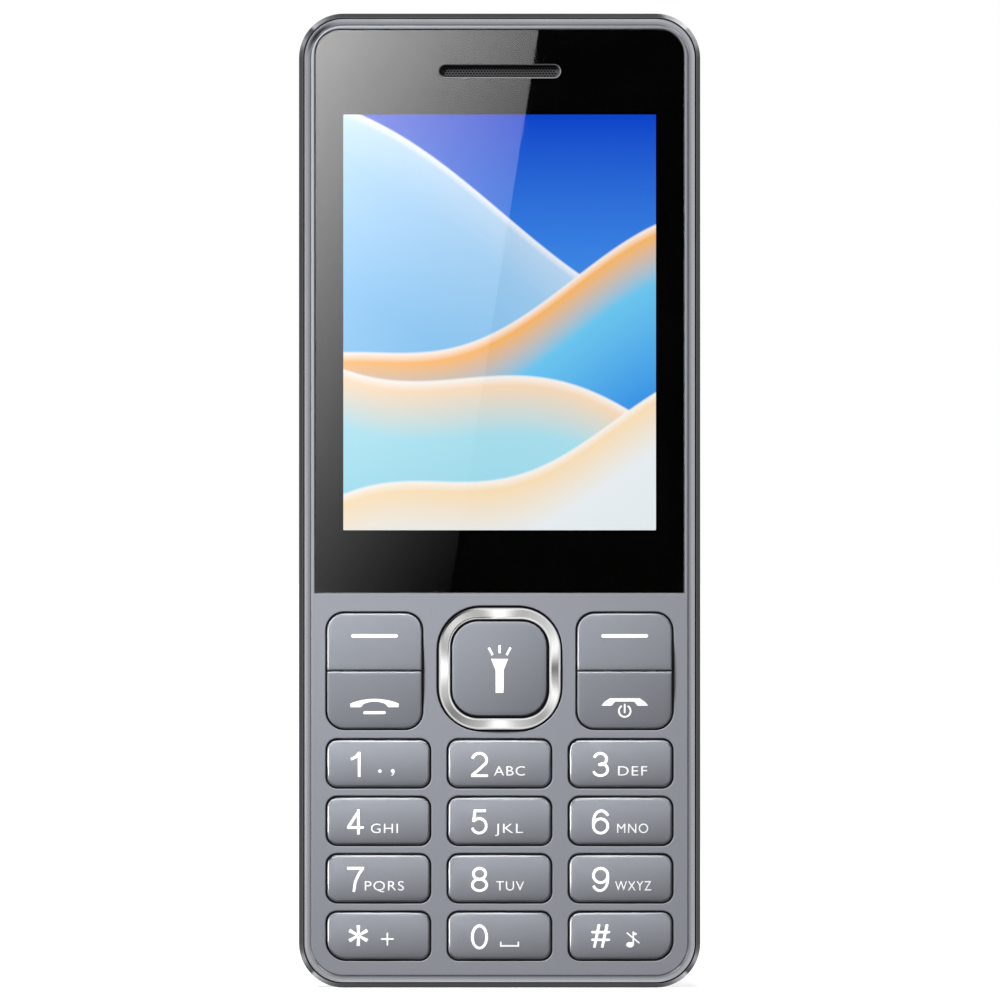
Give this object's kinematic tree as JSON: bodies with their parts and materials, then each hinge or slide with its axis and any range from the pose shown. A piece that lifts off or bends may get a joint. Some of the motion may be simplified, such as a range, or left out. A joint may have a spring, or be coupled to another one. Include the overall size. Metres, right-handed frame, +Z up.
{
  "type": "feature phone",
  "caption": "Bar feature phone with a colour screen, keypad, navigation ring, side band and a pull-off battery cover over a removable battery.",
  "frame": {"origin": "middle of the bottom end, on the surface that the phone stands on, halfway between the key tops and the back of the battery cover", "axes": "+Z up the phone's height, +X to the right seen from the front, -Y out of the screen"},
  "size_m": [0.055, 0.013, 0.1335],
  "materials": {
    "front_paint": "satin metallic grey paint",
    "band_metal": "dark gunmetal, satin",
    "rear_plastic": "fine moulded texture",
    "cover_paint": "satin metallic grey paint",
    "window_glass": "clear, printed black round the screen",
    "black_tape": "matt",
    "mesh_steel": "dark, perforated",
    "key_paint": "satin metallic grey paint, white legends",
    "ring_chrome": "bright plating",
    "clear_rubber": "milky silicone",
    "clear_film": "thin film",
    "gold_plate": "plated",
    "white_led": "clear resin",
    "board_green": "solder mask",
    "chip_black": "moulded",
    "tin_sheet": "tinned sheet",
    "screen_glass": "lit screen",
    "amber_film": "thin film",
    "black_foam": "foam",
    "speaker_black": "moulded",
    "weight_metal": "sintered",
    "camera_glass": "clear, printed black at the rim",
    "clear_lens": "clear, moulded rings",
    "socket_steel": "plated shell",
    "socket_plastic": "moulded",
    "battery_can": "can in a dark printed sleeve",
    "copper_sheet": "copper",
    "screw_steel": "zinc plated"
  },
  "bodies": {
    "phone": {"front_housing": "front_paint", "side_band": "band_metal", "rear_housing": "rear_plastic", "display_window": "window_glass", "window_tape": "black_tape", "earpiece_mesh": "mesh_steel", "keypad_mat": "clear_rubber", "dome_film": "clear_film", "snap_domes": "gold_plate", "keypad_leds": "white_led", "main_board": "board_green", "board_chips": "chip_black", "shield_cans": "tin_sheet", "display_panel": "screen_glass", "display_tray": "tin_sheet", "display_flex": "amber_film", "earpiece_receiver": "chip_black", "earpiece_gasket": "black_foam", "loudspeaker": "speaker_black", "loudspeaker_gasket": "black_foam", "vibration_motor": "tin_sheet", "microphone": "tin_sheet", "microphone_boot": "black_foam", "camera_module": "chip_black", "camera_window": "camera_glass", "torch_led": "white_led", "torch_lens": "clear_lens", "usb_socket": "socket_steel", "audio_socket": "socket_plastic", "battery": "battery_can", "battery_contacts": "gold_plate", "sim_socket_1": "tin_sheet", "sim_socket_2": "tin_sheet", "memory_card_socket": "tin_sheet", "antenna": "copper_sheet", "housing_screws": "screw_steel"},
    "key_1": {"key_1": "key_paint"},
    "key_2": {"key_2": "key_paint"},
    "key_3": {"key_3": "key_paint"},
    "key_4": {"key_4": "key_paint"},
    "key_5": {"key_5": "key_paint"},
    "key_6": {"key_6": "key_paint"},
    "key_7": {"key_7": "key_paint"},
    "key_8": {"key_8": "key_paint"},
    "key_9": {"key_9": "key_paint"},
    "key_star": {"key_star": "key_paint"},
    "key_0": {"key_0": "key_paint"},
    "key_hash": {"key_hash": "key_paint"},
    "left_soft_key": {"left_soft_key": "key_paint"},
    "call_key": {"call_key": "key_paint"},
    "right_soft_key": {"right_soft_key": "key_paint"},
    "end_key": {"end_key": "key_paint"},
    "nav_ring": {"nav_ring": "ring_chrome"},
    "nav_rocker": {"nav_rocker": "rear_plastic"},
    "centre_key": {"centre_key": "key_paint"},
    "battery_cover": {"battery_cover": "cover_paint"},
    "motor_weight": {"motor_weight": "weight_metal"}
  },
  "joints": [
    {"name": "key_1_press", "type": "slide", "parent": "phone", "child": "key_1", "axis": [0, 1, 0], "range_m": [0, 0.00035], "stiffness_N_per_m": 4000},
    {"name": "key_2_press", "type": "slide", "parent": "phone", "child": "key_2", "axis": [0, 1, 0], "range_m": [0, 0.00035], "stiffness_N_per_m": 4000},
    {"name": "key_3_press", "type": "slide", "parent": "phone", "child": "key_3", "axis": [0, 1, 0], "range_m": [0, 0.00035], "stiffness_N_per_m": 4000},
    {"name": "key_4_press", "type": "slide", "parent": "phone", "child": "key_4", "axis": [0, 1, 0], "range_m": [0, 0.00035], "stiffness_N_per_m": 4000},
    {"name": "key_5_press", "type": "slide", "parent": "phone", "child": "key_5", "axis": [0, 1, 0], "range_m": [0, 0.00035], "stiffness_N_per_m": 4000},
    {"name": "key_6_press", "type": "slide", "parent": "phone", "child": "key_6", "axis": [0, 1, 0], "range_m": [0, 0.00035], "stiffness_N_per_m": 4000},
    {"name": "key_7_press", "type": "slide", "parent": "phone", "child": "key_7", "axis": [0, 1, 0], "range_m": [0, 0.00035], "stiffness_N_per_m": 4000},
    {"name": "key_8_press", "type": "slide", "parent": "phone", "child": "key_8", "axis": [0, 1, 0], "range_m": [0, 0.00035], "stiffness_N_per_m": 4000},
    {"name": "key_9_press", "type": "slide", "parent": "phone", "child": "key_9", "axis": [0, 1, 0], "range_m": [0, 0.00035], "stiffness_N_per_m": 4000},
    {"name": "key_star_press", "type": "slide", "parent": "phone", "child": "key_star", "axis": [0, 1, 0], "range_m": [0, 0.00035], "stiffness_N_per_m": 4000},
    {"name": "key_0_press", "type": "slide", "parent": "phone", "child": "key_0", "axis": [0, 1, 0], "range_m": [0, 0.00035], "stiffness_N_per_m": 4000},
    {"name": "key_hash_press", "type": "slide", "parent": "phone", "child": "key_hash", "axis": [0, 1, 0], "range_m": [0, 0.00035], "stiffness_N_per_m": 4000},
    {"name": "left_soft_key_press", "type": "slide", "parent": "phone", "child": "left_soft_key", "axis": [0, 1, 0], "range_m": [0, 0.00035], "stiffness_N_per_m": 4000},
    {"name": "call_key_press", "type": "slide", "parent": "phone", "child": "call_key", "axis": [0, 1, 0], "range_m": [0, 0.00035], "stiffness_N_per_m": 4000},
    {"name": "right_soft_key_press", "type": "slide", "parent": "phone", "child": "right_soft_key", "axis": [0, 1, 0], "range_m": [0, 0.00035], "stiffness_N_per_m": 4000},
    {"name": "end_key_press", "type": "slide", "parent": "phone", "child": "end_key", "axis": [0, 1, 0], "range_m": [0, 0.00035], "stiffness_N_per_m": 4000},
    {"name": "centre_key_press", "type": "slide", "parent": "phone", "child": "centre_key", "axis": [0, 1, 0], "range_m": [0, 0.00035], "stiffness_N_per_m": 4000},
    {"name": "nav_tilt_up_down", "type": "hinge", "parent": "phone", "child": "nav_rocker", "pos_m": [0, -0.00402, 0.04373], "axis": [1, 0, 0], "range_deg": [-2, 2], "stiffness_Nm_per_rad": 0.3},
    {"name": "nav_tilt_left_right", "type": "hinge", "parent": "nav_rocker", "child": "nav_ring", "pos_m": [0, -0.00402, 0.04373], "axis": [0, 0, 1], "range_deg": [-2, 2], "stiffness_Nm_per_rad": 0.3},
    {"name": "battery_cover_pull", "type": "slide", "parent": "phone", "child": "battery_cover", "axis": [0, 1, 0], "range_m": [0, 0.03]},
    {"name": "vibration_spin", "type": "hinge", "parent": "phone", "child": "motor_weight", "pos_m": [-0.01, 0.0016, 0.0841], "axis": [1, 0, 0], "continuous": true}
  ]
}
